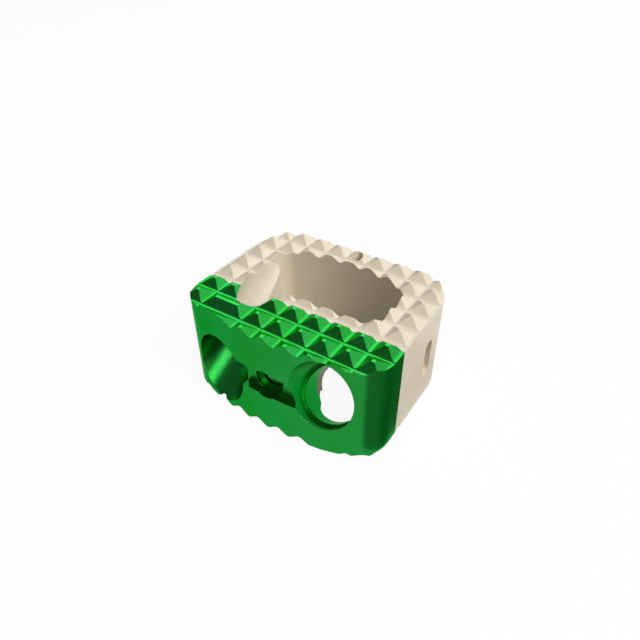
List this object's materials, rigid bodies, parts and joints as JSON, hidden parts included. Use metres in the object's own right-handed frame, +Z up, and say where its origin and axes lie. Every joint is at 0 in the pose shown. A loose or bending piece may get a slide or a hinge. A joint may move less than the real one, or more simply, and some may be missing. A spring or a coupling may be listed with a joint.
{
  "type": "spinal interbody cage",
  "caption": "Cervical interbody cage: a toothed polymer ring around a graft window, behind an anodised titanium face plate with angled screw bores and an inserter slot.",
  "frame": {"origin": "middle of the footprint, on the plane of the lower tooth tips", "axes": "+X across the patient, towards the screw bore that falls; +Y from the metal face plate to the rear wall; +Z up, from the lower teeth to the upper teeth"},
  "size_m": [0.016, 0.013, 0.0082],
  "materials": {
    "anodised_titanium": "green anodised titanium alloy, milled, satin with bright edges",
    "polymer": "beige PEEK, milled, matt to satin",
    "marker_metal": "dull grey tantalum"
  },
  "bodies": {
    "root": {"face_plate": "anodised_titanium", "graft_ring": "polymer", "rear_marker_pin": "marker_metal"}
  },
  "joints": []
}
